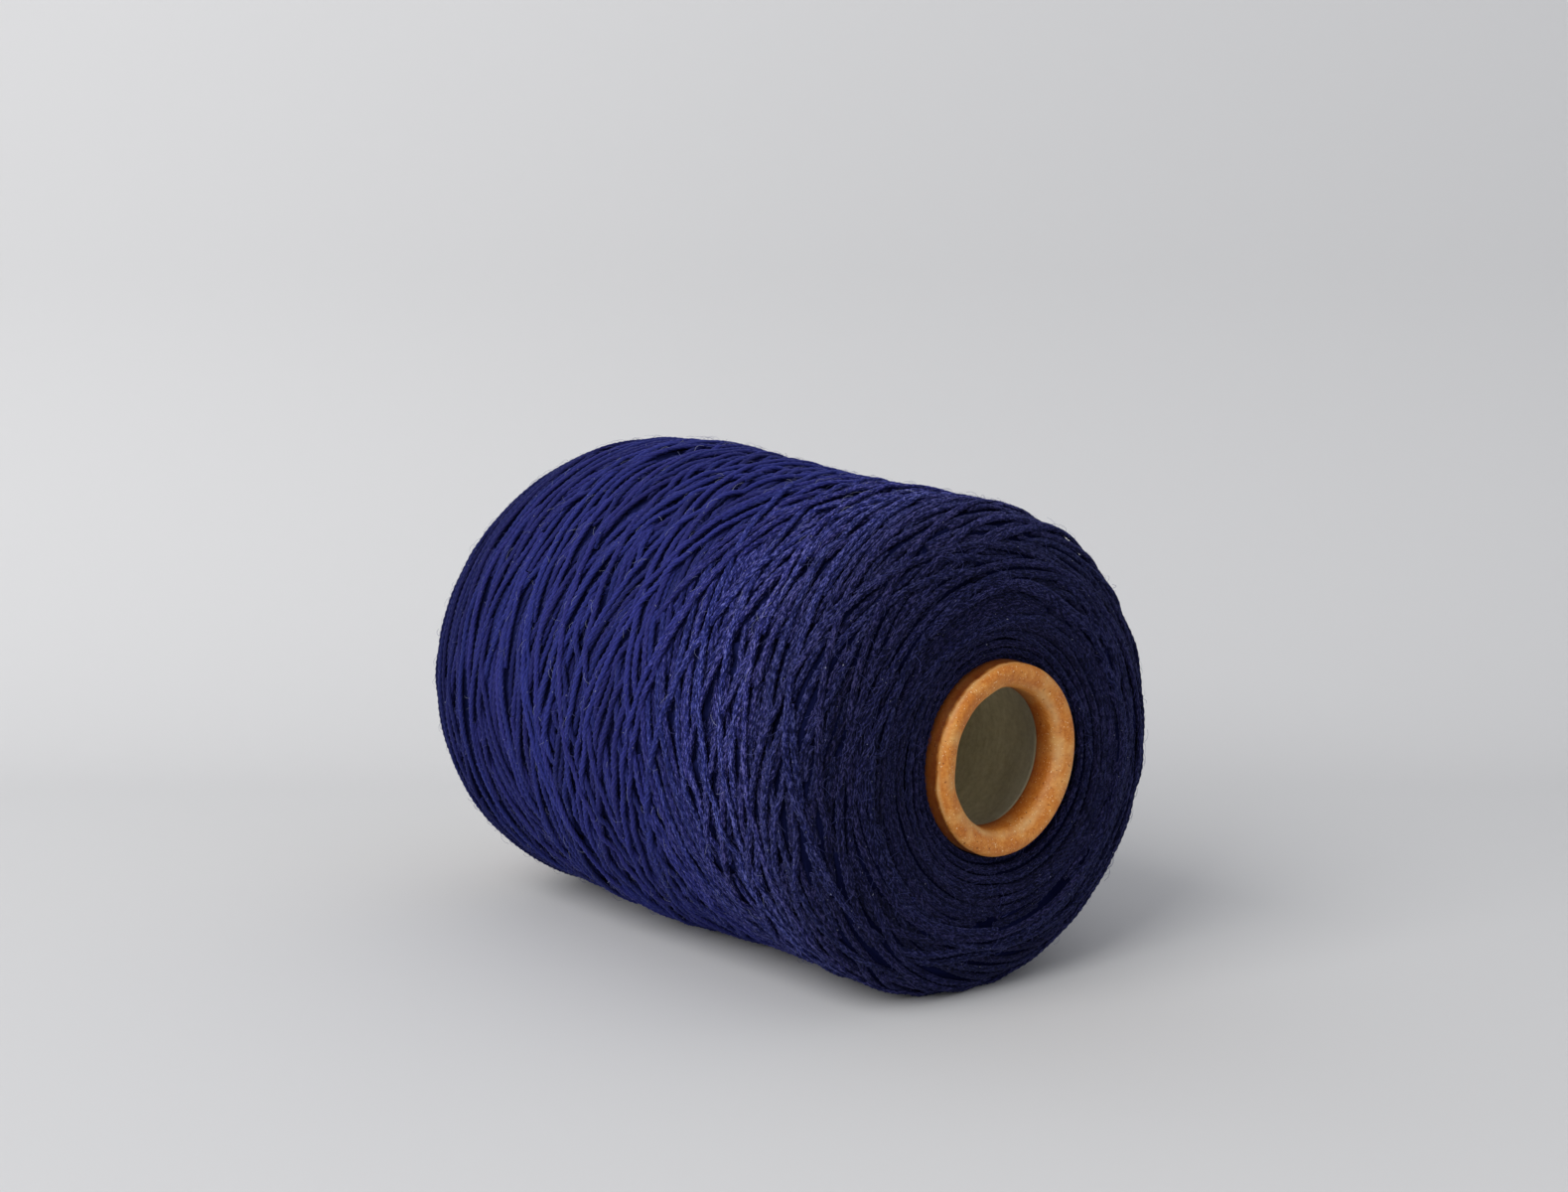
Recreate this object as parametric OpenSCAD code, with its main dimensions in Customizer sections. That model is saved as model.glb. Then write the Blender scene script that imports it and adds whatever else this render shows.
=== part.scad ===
// A cone of knitting yarn, lying on its side.
// Every piece is drawn standing on its base, with the cone's axis along Z and the nose up, and
// lay_down() then turns it onto its side. The direction +X of the standing cone becomes its underside.

/* [Paper cone] */
// Length of the paper cone along its axis, from the base edge to the top of the nose
cone_length = 170; // [150:1:200]
// Angle between the cone's wall and its axis, in degrees
cone_angle = 3.5; // [2.5:0.25:4.5]
// Outside diameter of the cone's wall at the top of the nose
nose_od = 40; // [36:0.5:46]
// Thickness of the grey chipboard wall
chipboard_wall = 2.2; // [1.4:0.1:3]
// Thickness of the coloured cover paper
cover_wall = 0.5; // [0.3:0.05:0.8]
// Thickness of the nose, where the wall is rolled back inside itself, cover paper included
bead_d = 5.4; // [4.8:0.1:7]
// How far down the bore the rolled-in edge and its cover paper run, below the rounding of the nose
roll_run = 4.3; // [1:0.1:8]
// Thickness of the paste between the chipboard and the cover paper
paste_gap = 0.05; // [0.02:0.01:0.1]

/* [Yarn] */
// Diameter of the packed yarn with its outermost courses, half-way along it
yarn_od = 111; // [96:1:126]
// Angle between the outside of the yarn and its axis, in degrees
yarn_angle = 3.5; // [2.5:0.25:4.5]
// Bare length of cone below the yarn
base_bare = 16; // [8:1:24]
// How far the top of the nose stands above the crown of the yarn
nose_proud = 1.6; // [0:0.1:6]
// Depth of the rounded end of the yarn at the nose
nose_dome = 14; // [10:1:22]
// Depth of the rounded end of the yarn at the base
base_dome = 34; // [22:1:40]
// Squareness of both rounded ends, where 2 is an ellipse
dome_power = 4; // [3:0.25:5]
// How deep the end faces sink next to the cone
dip_depth = 4.2; // [2:0.1:5]
// How far out from the cone that dip reaches
dip_width = 11; // [8:0.5:14]
// Gap between the cover paper and the yarn gripped round it
seat_gap = 0.1; // [0.05:0.05:0.3]
// Width of the flat that the yarn's own weight presses into its underside
rest_flat = 12; // [10:0.5:16]
// Width of pressed yarn left on each side of that flat
rest_margin = 2.4; // [1.5:0.1:5]

/* [Winding] */
// Diameter of one strand of the yarn
strand_d = 1.65; // [1.4:0.05:1.8]
// Strands that lie side by side in one bundle
bundle_strands = 3; // [2:1:4]
// Open space between neighbouring bundles where they lie closest
bundle_gap = 2; // [1.5:0.1:5]
// Angle at which a bundle crosses the middle of the package, in degrees
wind_angle = 17; // [14:0.5:20]
// How far that angle bends towards the ends, where 0 keeps it and 60 halves it
wind_ease = 50; // [30:1:56]
// Height of one course of bundles, which press into each other
course_height = 0.95; // [0.8:0.05:1.2]
// Gap under each course, and under the turns on the end faces
lay_gap = 0.35; // [0.35:0.05:0.5]
// Distance from strand to strand in the turns on the end faces
turn_pitch = 1.9; // [1.85:0.05:2.4]
// Share of the package's radius at which those turns end and the bundles begin
turn_reach = 0.88; // [0.8:0.01:0.92]

/* [Hidden] */

// Curves of turned pieces
curve_facets = 96;
strand_facets = 24;
// Points along each rounded end, and the angle from ring to ring of a bundle
dome_steps = 16;
ring_step = 11;
// Angle over which a bundle thins out where it dives under its neighbours, and what is left of it
dive_angle = 24;
dive_left = 0.3;
// Depth of the groove between two strands of a bundle, as a share of the course's height
strand_groove = 0.55;
// Shortest stretch of a bundle worth drawing, in degrees
shortest_stretch = 25;

navy = [0.15, 0.16, 0.38];
navy_light = [0.20, 0.21, 0.46];
navy_dark = [0.11, 0.12, 0.30];
orange = [0.73, 0.46, 0.20];
chipboard_grey = [0.42, 0.40, 0.33];

// Wall of the cone at a height u above the base edge, and the rounding of its nose
function cone_r(u) = nose_od / 2 + (cone_length - u) * tan(cone_angle);
bead_r = bead_d / 2;
bead_u = cone_length - bead_r;
bead_centre_r = cone_r(bead_u) - bead_r / cos(cone_angle);
core_bead_r = bead_r - cover_wall;
inner_step = (cover_wall + chipboard_wall) / cos(cone_angle);

// Height of the yarn's two ends, and what lies between the packed yarn and the outside
course_stack = 2 * (course_height + lay_gap);
crown_u = cone_length - nose_proud - course_stack;
foot_u = base_bare + course_stack;
middle_u = (cone_length - nose_proud + base_bare) / 2;
seat_step = seat_gap / cos(cone_angle);
function packed_r(u) = yarn_od / 2 - course_stack - (u - middle_u) * tan(yarn_angle);
function seat_r(u) = cone_r(u) + seat_step;

// One rounded end of the packed yarn: [height, radius] from the cone out to the straight side.
// side is 1 at the nose and -1 at the base.
function dome(end_u, depth, side) =
    let (edge_u = end_u - side * depth,
         inner_share = seat_r(end_u) / packed_r(end_u),
         last = acos(pow(inner_share, dome_power / 2)))
    [for (i = [dome_steps:-1:0])
        let (a = last * i / dome_steps,
             u = edge_u + side * depth * pow(sin(a), 2 / dome_power),
             r = packed_r(u) * pow(cos(a), 2 / dome_power),
             near = max(0, 1 - (r - seat_r(u)) / dip_width))
        [u - side * dip_depth * near * near, r]];

function reversed(list) = [for (i = [len(list) - 1:-1:0]) list[i]];

// The whole outline of the packed yarn, from the cone at the nose to the cone at the base
outline = concat(dome(crown_u, nose_dome, 1), reversed(dome(foot_u, base_dome, -1)));

// Length along that outline from the nose, up to each of its points
function lengths(path, i = 0, sum = 0) =
    i == len(path) ? [] :
    let (here = sum + (i == 0 ? 0 : norm(path[i] - path[i - 1])))
    concat([here], lengths(path, i + 1, here));

along = lengths(outline);
last_point = len(outline) - 1;
height_at = [for (i = [0:last_point]) [along[i], outline[i][0]]];
radius_at = [for (i = [0:last_point]) [along[i], outline[i][1]]];

// A point on the outline, the direction outwards there, and a point lifted off it
function on_yarn(s) = [lookup(s, height_at), lookup(s, radius_at)];
function outwards(s) =
    let (run = on_yarn(s + strand_d) - on_yarn(s - strand_d))
    [run[1], -run[0]] / norm(run);
function lifted(s, lift) = on_yarn(s) + lift * outwards(s);

// Where the outline passes the share of the radius at which the end faces' turns end
nose_shoulder = lookup(turn_reach * packed_r(crown_u),
                       [for (i = [0:dome_steps]) [outline[i][1], along[i]]]);
base_shoulder = lookup(turn_reach * packed_r(foot_u),
                       [for (i = [last_point:-1:dome_steps + 1]) [outline[i][1], along[i]]]);

// One pass of a bundle: length along the outline at an angle from the start of the pass
bundle_w = bundle_strands * strand_d / cos(wind_angle);
pass_middle = (nose_shoulder + base_shoulder) / 2;
pass_half = (base_shoulder - nose_shoulder - bundle_w) / 2;
lead = 2 * PI * packed_r(middle_u) * tan(wind_angle);
pass_angle = 720 * pass_half * wind_ease * PI / 180 / (sin(wind_ease) * lead);
function pass_at(a) = pass_middle + pass_half * sin(wind_ease * (2 * a / pass_angle - 1)) / sin(wind_ease);
bundles = floor(lead * cos(wind_ease) / (bundle_w + bundle_gap));

// The strip of yarn pressed against the floor, as an angle each side of straight down
press_angle = asin((rest_flat / 2 + rest_margin) / packed_r(outline[dome_steps][0]));
stretch_start = press_angle + lay_gap * 180 / PI / packed_r(crown_u);

// Placing on its side
flat_sag = yarn_od / 2 - sqrt(pow(yarn_od / 2, 2) - pow(rest_flat / 2, 2));
rest_height = yarn_od / 2 * cos(yarn_angle) + middle_u * sin(yarn_angle) - flat_sag;
base_end_x = -cone_r(0) * sin(yarn_angle);
nose_end_x = bead_u * cos(yarn_angle) + bead_centre_r * sin(yarn_angle) + bead_r;

module lay_down() {
    translate([-(base_end_x + nose_end_x) / 2, 0, rest_height])
        rotate([0, 90 + yarn_angle, 0])
            children();
}

// Turns an outline given as [height, radius] round the cone's axis
module turned(points) {
    rotate_extrude($fn = curve_facets)
        polygon([for (p = points) [p[1], p[0]]]);
}

// Half-section of the chipboard: a straight wall, and the core of the rolled nose inside it
module chipboard_section() {
    wall_skin = (cover_wall + paste_gap) / cos(cone_angle);
    polygon([
        [cone_r(0) - inner_step, 0],
        [cone_r(0) - wall_skin, 0],
        [cone_r(bead_u) - wall_skin, bead_u],
        [cone_r(bead_u) - inner_step, bead_u]
    ]);
    board_r = core_bead_r - paste_gap;
    for (u = [bead_u - roll_run, bead_u])
        translate([bead_centre_r, u])
            circle(r = board_r, $fn = curve_facets);
    translate([bead_centre_r - board_r, bead_u - roll_run])
        square([board_r, roll_run]);
}

module chipboard_cone() {
    color(chipboard_grey)
        lay_down()
            rotate_extrude($fn = curve_facets)
                chipboard_section();
}

// Half-section of the cover paper: a skin outside the wall, over the nose and down into the bore
module cover_section() {
    skin = cover_wall / cos(cone_angle);
    polygon([
        [cone_r(0) - skin, 0],
        [cone_r(0), 0],
        [cone_r(bead_u), bead_u],
        [cone_r(bead_u) - skin, bead_u]
    ]);
    translate([bead_centre_r, bead_u])
        intersection() {
            difference() {
                circle(r = bead_r, $fn = curve_facets);
                circle(r = core_bead_r, $fn = curve_facets);
            }
            translate([-bead_d, 0])
                square([2 * bead_d, bead_d]);
        }
    translate([bead_centre_r - bead_r, bead_u - roll_run])
        square([cover_wall, roll_run]);
}

module cover_paper() {
    color(orange)
        lay_down()
            rotate_extrude($fn = curve_facets)
                cover_section();
}

// The packed yarn keeps its full size only in the strip that is pressed against the floor
module pressed_strip() {
    reach = yarn_od;
    under = [for (s = along) if (s > nose_shoulder && s < base_shoulder) lifted(s, course_stack)];
    ends = [lifted(base_shoulder, -course_stack), [middle_u, 0], lifted(nose_shoulder, -course_stack)];
    intersection() {
        turned(concat(under, ends));
        linear_extrude(height = cone_length)
            polygon([[0, 0], reach * [1, -tan(press_angle)], reach * [1, tan(press_angle)]]);
    }
}

module packed_yarn() {
    floor_block = 2 * cone_length;
    color(navy_dark)
        difference() {
            lay_down()
                difference() {
                    union() {
                        turned(concat(outline, [[foot_u, 0], [crown_u, 0]]));
                        pressed_strip();
                    }
                    cylinder(h = cone_length, r1 = seat_r(0), r2 = seat_r(cone_length), $fn = curve_facets);
                }
            translate([-floor_block / 2, -floor_block / 2, -floor_block])
                cube(floor_block);
        }
}

// Turns of single strand laid side by side on an end face, the first of them beside the cone
module end_turns(from, to) {
    way = sign(to - from);
    lift = strand_d / 2 + lay_gap;
    beside_cone = [for (step = [0:turn_pitch / 8:3 * turn_pitch])
        let (centre = lifted(from + way * step, lift))
        [centre[1] - seat_r(centre[0]), step]];
    first = lookup(lift, beside_cone);
    for (step = [first:turn_pitch:abs(to - from) - turn_pitch / 2]) {
        centre = lifted(from + way * step, lift);
        translate([0, 0, centre[0]])
            rotate_extrude($fn = curve_facets)
                translate([centre[1], 0])
                    circle(d = strand_d, $fn = strand_facets);
    }
}

module nose_end_turns() {
    color(navy)
        lay_down()
            end_turns(0, nose_shoulder);
}

module base_end_turns() {
    color(navy)
        lay_down()
            end_turns(along[last_point], base_shoulder);
}

// Section of a bundle, as [offset along the outline, height above its underside]: the ridges and
// grooves of its strands from edge to edge, then the middle of its underside
function bundle_section(thick) = concat(
    [for (i = [0:2 * bundle_strands])
        let (edge = i == 0 || i == 2 * bundle_strands,
             rise = edge ? 0 : i % 2 == 1 ? 1 : 1 - strand_groove)
        [bundle_w * (i / (2 * bundle_strands) - 0.5), thick * rise]],
    [[0, 0]]);

// One ring of a bundle at an angle round the cone, standing on a given lift above the packed yarn
function bundle_ring(angle, s, lift, thick) =
    [for (p = bundle_section(thick))
        let (q = lifted(s + p[0], lift + p[1]))
        [q[1] * cos(angle), q[1] * sin(angle), q[0]]];

// Joins equal rings of points into one closed solid, whose two caps fan out from a ring's last point
module skin(rings) {
    n = len(rings[0]);
    end = n * (len(rings) - 1);
    walls = [for (j = [0:len(rings) - 2], k = [0:n - 1])
        let (a = j * n + k, b = j * n + (k + 1) % n)
        each [[a, a + n, b + n], [a, b + n, b]]];
    caps = [for (k = [0:n - 3])
        each [[n - 1, k, k + 1], [end + n - 1, end + k + 1, end + k]]];
    polyhedron(points = [for (r = rings) each r], faces = concat(walls, caps));
}

// One stretch of a bundle from the pressed strip round to the strip again, or to the end of its pass.
// hand is 1 where the bundle runs to the base anticlockwise seen from the nose, and -1 clockwise.
module stretch(hand, phase, from, to, lift) {
    steps = ceil((to - from) / ring_step);
    skin([for (j = [0:steps])
        let (angle = from + (to - from) * j / steps,
             a = hand * (angle - phase),
             thin = max(dive_left, min(1, a / dive_angle, (pass_angle - a) / dive_angle)))
        bundle_ring(angle, pass_at(a), lift, course_height * thin)]);
}

module course(hand, lift, offset) {
    turns = ceil(pass_angle / 360) + 1;
    for (b = [0:bundles - 1], k = [-turns:turns]) {
        phase = (b + offset) * 360 / bundles;
        low = hand > 0 ? phase : phase - pass_angle;
        from = max(low, 360 * k + stretch_start);
        to = min(low + pass_angle, 360 * (k + 1) - stretch_start);
        if (to - from > shortest_stretch)
            stretch(hand, phase, from, to, lift);
    }
}

module lower_course() {
    color(navy)
        lay_down()
            course(1, lay_gap, 0);
}

module upper_course() {
    color(navy_light)
        lay_down()
            course(-1, 2 * lay_gap + course_height, 0.5);
}

chipboard_cone();
cover_paper();
packed_yarn();
nose_end_turns();
base_end_turns();
lower_course();
upper_course();
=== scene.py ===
import math

import bmesh
import bpy
import numpy as np
from mathutils import Matrix, Vector


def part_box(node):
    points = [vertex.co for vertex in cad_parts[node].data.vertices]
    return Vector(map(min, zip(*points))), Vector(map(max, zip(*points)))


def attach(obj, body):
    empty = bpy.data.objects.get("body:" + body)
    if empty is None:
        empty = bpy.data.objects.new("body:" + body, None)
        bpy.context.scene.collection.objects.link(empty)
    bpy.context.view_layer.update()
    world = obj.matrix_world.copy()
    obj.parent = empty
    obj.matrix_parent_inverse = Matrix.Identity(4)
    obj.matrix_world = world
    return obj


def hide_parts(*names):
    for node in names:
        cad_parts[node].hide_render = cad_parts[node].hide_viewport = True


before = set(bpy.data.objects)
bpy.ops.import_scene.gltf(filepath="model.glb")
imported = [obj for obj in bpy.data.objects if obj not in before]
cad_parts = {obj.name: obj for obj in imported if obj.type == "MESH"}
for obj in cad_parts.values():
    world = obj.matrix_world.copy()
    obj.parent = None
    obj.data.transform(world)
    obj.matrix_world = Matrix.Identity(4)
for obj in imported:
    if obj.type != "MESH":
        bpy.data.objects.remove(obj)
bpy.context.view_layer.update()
mm = 0.001


# ---------------------------------------------------------------------------------------------
# Chipboard cone
# A tube of grey board, wound from glued plies over a tapered mandrel and cut square at its base.
# Its wall is rolled back inside itself at the nose, so that no edge catches the yarn as it runs off.
# ---------------------------------------------------------------------------------------------
cone_length = 170 * mm
cone_taper = math.radians(3.5)
nose_r = 20 * mm
board_wall = 2.2 * mm
paper_wall = 0.5 * mm
paste_gap = 0.05 * mm
nose_half = 2.7 * mm
roll_run = 4.3 * mm
outer_round = 1.9 * mm
inner_round = 3.5 * mm
lean = cone_taper
cone_sides = 192
# The materials read heights in this unit
lathe_unit = 10 * mm


def cone_r(u):
    """Outside of the covered cone at a height u above its base edge."""
    return nose_r + (cone_length - u) * math.tan(cone_taper)


round_r = cone_r(cone_length - outer_round) - outer_round / math.cos(cone_taper)
roll_end = cone_length - nose_half - roll_run
wall_step = (paper_wall + board_wall) / math.cos(cone_taper)

lowest, highest = (Vector(corner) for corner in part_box("chipboard_cone"))
board_foot_r = cone_r(0) - (paper_wall + paste_gap) / math.cos(cone_taper)
axis_start = Vector((lowest.x + board_foot_r * math.sin(lean), 0,
                     highest.z - board_foot_r * math.cos(lean)))
on_its_side = np.array(Matrix.Translation(axis_start) @ Matrix.Rotation(math.pi / 2 + lean, 4, "Y"))


def laid_down(points):
    """Takes points from the standing cone to where it lies."""
    return points @ on_its_side[:3, :3].T + on_its_side[:3, 3]


def new_object(name, points, faces, edges=()):
    """Makes an object at the origin from its points, faces and edges."""
    mesh = bpy.data.meshes.new(name)
    mesh.from_pydata(points, edges, faces)
    mesh.update()
    made = bpy.data.objects.new(name, mesh)
    bpy.context.scene.collection.objects.link(made)
    return made


def store(mesh, name, values, kind="FLOAT"):
    """Keeps one value a vertex, for a material or a node tree to read."""
    layer = mesh.attributes.new(name, kind, "POINT")
    layer.data.foreach_set("value" if kind == "FLOAT" else "vector", np.ravel(values).astype(np.float32))


def turned(name, section, offset=None, sides=cone_sides):
    """Turns a closed section of (height, radius) points round the cone's axis. The vertices keep
    how far round the section they lie, and their height and direction from the axis."""
    section = np.array(section)
    count = len(section)
    angles = np.linspace(0, 2 * math.pi, sides, endpoint=False)
    height = np.tile(section[:, 0], (sides, 1))
    radius = np.tile(section[:, 1], (sides, 1))
    if offset is not None:
        height, radius = offset(angles[:, None], height, radius)
    across, up = np.cos(angles)[:, None], np.sin(angles)[:, None]
    points = np.stack([radius * across, radius * up, height], axis=-1).reshape(-1, 3)
    faces = []
    for i in range(sides):
        for j in range(count):
            a, b = i * count, (i + 1) % sides * count
            k = (j + 1) % count
            faces.append((a + j, b + j, b + k, a + k))
    made = new_object(name, laid_down(points), faces)
    steps = np.linalg.norm(np.diff(section, axis=0, append=section[:1]), axis=1)
    round_section = np.cumsum(steps) - steps
    store(made.data, "round_section", np.tile(round_section, sides))
    lathe = np.stack([height / lathe_unit, across + 0 * height, up + 0 * height], axis=-1)
    store(made.data, "lathe", lathe, "FLOAT_VECTOR")
    bm = bmesh.new()
    bm.from_mesh(made.data)
    bmesh.ops.recalc_face_normals(bm, faces=bm.faces)
    bm.to_mesh(made.data)
    bm.free()
    made.data.shade_smooth()
    return made


def add(tree, kind, inputs=(), **settings):
    """Adds a node, sets its properties, and fills its inputs with values or links."""
    made = tree.nodes.new(kind)
    for key, value in settings.items():
        setattr(made, key, value)
    for key, value in dict(inputs).items():
        if isinstance(value, bpy.types.NodeSocket):
            tree.links.new(value, made.inputs[key])
        else:
            made.inputs[key].default_value = value
    return made


def new_material(name, constants):
    """A material with its shader's constant sockets set: returns it, its tree and the shader."""
    made = bpy.data.materials.new(name)
    made.use_nodes = True
    tree = made.node_tree
    shader = tree.nodes["Principled BSDF"]
    for key, value in constants.items():
        shader.inputs[key].default_value = value
    return made, tree, shader


def ramp(tree, factor, stops):
    """A colour ramp through (place, colour) stops."""
    made = add(tree, "ShaderNodeValToRGB", {"Fac": factor})
    points = made.color_ramp.elements
    while len(points) < len(stops):
        points.new(1)
    for point, (place, colour) in zip(points, stops):
        point.position = place
        point.color = (*colour, 1)
    return made.outputs["Color"]


def carried(tree, name, output="Fac"):
    """A value that the mesh carries, for a material to read."""
    return add(tree, "ShaderNodeAttribute", attribute_name=name).outputs[output]


def arithmetic(tree, operation, *values):
    """The result of one sum, product or the like."""
    return add(tree, "ShaderNodeMath", dict(enumerate(values)), operation=operation).outputs[0]


def mapped(tree, value, source, target=(0.0, 1.0)):
    """A value carried over from one range to another, and held at its ends."""
    return add(tree, "ShaderNodeMapRange",
               {"Value": value, "From Min": source[0], "From Max": source[1],
                "To Min": target[0], "To Max": target[1]}).outputs["Result"]


def times(tree, vector, factor):
    """A colour or a direction multiplied by one value."""
    return add(tree, "ShaderNodeVectorMath", {0: vector, "Scale": factor},
               operation="SCALE").outputs["Vector"]


def noise(tree, place, scale, detail=4, roughness=0.55):
    """Cloudy noise, from 0 to 1."""
    return add(tree, "ShaderNodeTexNoise",
               {"Vector": place, "Scale": scale, "Detail": detail, "Roughness": roughness}).outputs["Fac"]


def scaled(tree, place, factors):
    """A place or a colour with each of its three values multiplied by its own factor."""
    return add(tree, "ShaderNodeVectorMath", {0: place, 1: factors}, operation="MULTIPLY").outputs["Vector"]


def bumped(tree, shader, height, strength, depth):
    """Lets a height shape the light on the surface."""
    bump = add(tree, "ShaderNodeBump", {"Height": height, "Strength": strength, "Distance": depth})
    tree.links.new(bump.outputs["Normal"], shader.inputs["Normal"])


def chipboard_material():
    """Olive-grey board with pale and dark fibres that run round the tube, and painted light down the bore.
    """
    made, tree, shader = new_material("chipboard", {"Roughness": 0.9, "Sheen Weight": 0.1})
    lathe = carried(tree, "lathe", "Vector")
    place = add(tree, "ShaderNodeTexCoord").outputs["Object"]
    streaks = noise(tree, scaled(tree, lathe, (3, 1.4, 1.4)), 2.2, 6)
    fibres = noise(tree, place, 900, 3)
    both = arithmetic(tree, "ADD", streaks, fibres)
    halved = arithmetic(tree, "MULTIPLY", both, 0.5)
    colour = ramp(tree, halved, [(0.3, (0.42, 0.37, 0.215)), (0.5, (0.54, 0.48, 0.30)),
                                 (0.72, (0.66, 0.60, 0.40))])
    # Painted light: lighter deep in the bore, where less light reaches, and painted shade up under the
    # rolled-in nose
    bore_light_start, bore_light_end = cone_length - 20 * mm, cone_length - 4 * mm
    height = add(tree, "ShaderNodeSeparateXYZ", {0: lathe}).outputs["X"]
    painted_bore_light = mapped(tree, height, (bore_light_start / lathe_unit, bore_light_end / lathe_unit), (1.15, 0.65))
    colour = times(tree, colour, painted_bore_light)
    tree.links.new(colour, shader.inputs["Base Color"])
    bumped(tree, shader, fibres, 0.4, 0.1 * mm)
    return made


def arc(centre, radius, start, end, steps):
    """Points of a section on an arc, by degrees from the outside of the cone over its nose."""
    return [(centre[0] + radius * math.sin(a), centre[1] + radius * math.cos(a))
            for a in np.radians(np.linspace(start, end, steps))]


def over_nose(depth, steps):
    """The rounding of the nose, a given depth under its surface, from the wall down to the bore."""
    return (arc((cone_length - outer_round, round_r), outer_round - depth, 2, 88, steps)
            + arc((cone_length - inner_round, round_r), inner_round - depth, 90, 180, 2 * steps))


def chipboard_section():
    """Inner wall, the end and the core of the rolled nose, the outer wall, and the base edge."""
    skin = paper_wall + paste_gap
    lip = 0.25 * mm
    roll_centre = cone_r(roll_end) - wall_step
    roll_r = roll_centre - (round_r - inner_round + skin)
    inner = [(u, cone_r(u) - wall_step) for u in np.linspace(lip, roll_end - roll_r, 12)]
    end = arc((roll_end, roll_centre), roll_r, 268, 182, 14)
    run_up = [(u, roll_centre - roll_r) for u in np.linspace(roll_end, cone_length - inner_round, 8)[:-1]]
    outer = [(u, cone_r(u) - skin / math.cos(cone_taper))
             for u in np.linspace(cone_length - outer_round, lip, 12)]
    edge = [(0, outer[-1][1] - lip), (0, inner[0][1] + lip)]
    return inner + end + run_up + over_nose(skin, 10)[::-1] + outer[1:] + edge


chipboard = turned("paper_cone_board", chipboard_section())
chipboard.data.materials.append(chipboard_material())
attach(chipboard, "root")
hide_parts("chipboard_cone")


# ---------------------------------------------------------------------------------------------
# Cover paper
# The outermost ply, a dyed paper pasted over the board. It is rolled in with the nose and ends a
# little way down the bore, darker there with painted shade and some browning by glue. Below the
# nose the yarn's shadow is painted on it outside.
# ---------------------------------------------------------------------------------------------
in_sight = 16 * mm
clear_of_round = 0.1 * mm
uneven_end = 15 * mm
uneven_fade = 12 * mm


def cover_section():
    """The outside of the wall, over the nose into the bore, and back along the paper's underside."""
    bore_r = round_r - inner_round
    below = cone_length - outer_round - clear_of_round
    outside = [(u, cone_r(u)) for u in np.concatenate([[0], np.linspace(cone_length - in_sight, below, 16)])]
    down = [(u, bore_r) for u in np.linspace(cone_length - inner_round, roll_end, 12)[1:]]
    back = [(u, bore_r + paper_wall) for u in np.linspace(roll_end, cone_length - inner_round, 6)[:-1]]
    inside = [(u, cone_r(u) - paper_wall / math.cos(cone_taper)) for u in np.linspace(below, 0, 8)]
    return outside + over_nose(0, 24) + down + back + over_nose(paper_wall, 12)[::-1] + inside


def rolled_unevenly(angles, height, radius):
    """Slight unevenness of the nose, which fades out down the wall."""
    near_nose = np.clip((height - (cone_length - uneven_end)) / uneven_fade, 0, 1)
    sway = 0.16 * mm * np.sin(2 * angles + 0.7) + 0.09 * mm * np.sin(3 * angles + 2.1)
    swell = 0.05 * mm * np.sin(7 * angles + 1.0) + 0.04 * mm * np.sin(11 * angles + 0.4)
    return height + near_nose * (0.6 * sway + swell), radius + near_nose * (sway - swell)


def mixed(tree, factor, colour, other, blend_type="MIX"):
    """One colour mixed with, or multiplied by, another."""
    return add(tree, "ShaderNodeMix", {"Factor": factor, 6: colour, 7: other},
               data_type="RGBA", blend_type=blend_type).outputs[2]


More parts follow.
